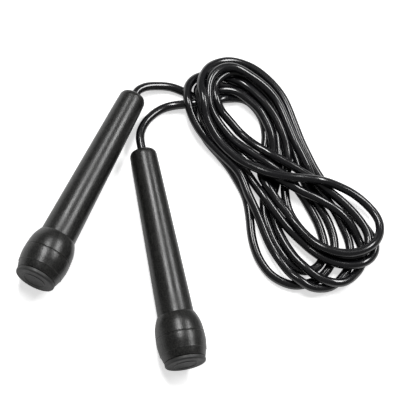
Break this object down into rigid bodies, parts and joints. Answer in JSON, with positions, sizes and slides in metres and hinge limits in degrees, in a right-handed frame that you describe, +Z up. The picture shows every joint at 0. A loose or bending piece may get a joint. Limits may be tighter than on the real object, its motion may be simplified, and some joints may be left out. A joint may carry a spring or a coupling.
{
  "type": "jump rope",
  "caption": "Speed rope with tapered handles, barrel-shaped butts and snap-in end caps; round plastic cord laid up in a twisted hank.",
  "frame": {"origin": "on the surface it lies on, under the middle of the box round the two handles", "axes": "+Z up; +Y is the long way of the pair of handles, from their end caps to their noses; +X from the handles to the hank"},
  "size_m": [0.2372, 0.2094, 0.0306],
  "materials": {
    "handle_plastic": "satin moulded polypropylene, fine grain",
    "cap_plastic": "matt moulded polypropylene",
    "washer_nylon": "natural nylon",
    "ferrule_metal": "zinc-plated rolled steel",
    "cord_pvc": "glossy extruded PVC"
  },
  "bodies": {
    "rope": {"rope_hank": "cord_pvc", "rope_left_end": "cord_pvc", "rope_right_end": "cord_pvc", "left_ferrule": "ferrule_metal", "right_ferrule": "ferrule_metal"},
    "left_washer": {"left_stop_washer": "washer_nylon"},
    "left_handle": {"left_handle_body": "handle_plastic"},
    "left_cap": {"left_end_cap": "cap_plastic"},
    "right_washer": {"right_stop_washer": "washer_nylon"},
    "right_handle": {"right_handle_body": "handle_plastic"},
    "right_cap": {"right_end_cap": "cap_plastic"}
  },
  "joints": [
    {"name": "left_handle_spin", "type": "hinge", "parent": "rope", "child": "left_handle", "pos_m": [0.01788, 0.08825, 0.00847], "axis": [-0.4574, -0.8876, 0.0538], "continuous": true},
    {"name": "left_washer_spin", "type": "hinge", "parent": "rope", "child": "left_washer", "pos_m": [0.01504, 0.08275, 0.00881], "axis": [-0.4574, -0.8876, 0.0538], "continuous": true},
    {"name": "left_cap_pull", "type": "slide", "parent": "left_handle", "child": "left_cap", "axis": [-0.4574, -0.8876, 0.0538], "range_m": [0, 0.018]},
    {"name": "right_handle_spin", "type": "hinge", "parent": "rope", "child": "right_handle", "pos_m": [0.02218, 0.05115, 0.00849], "axis": [0.1596, -0.9857, 0.0538], "continuous": true},
    {"name": "right_washer_spin", "type": "hinge", "parent": "rope", "child": "right_washer", "pos_m": [0.02317, 0.04504, 0.00882], "axis": [0.1596, -0.9857, 0.0538], "continuous": true},
    {"name": "right_cap_pull", "type": "slide", "parent": "right_handle", "child": "right_cap", "axis": [0.1596, -0.9857, 0.0538], "range_m": [0, 0.018]}
  ]
}
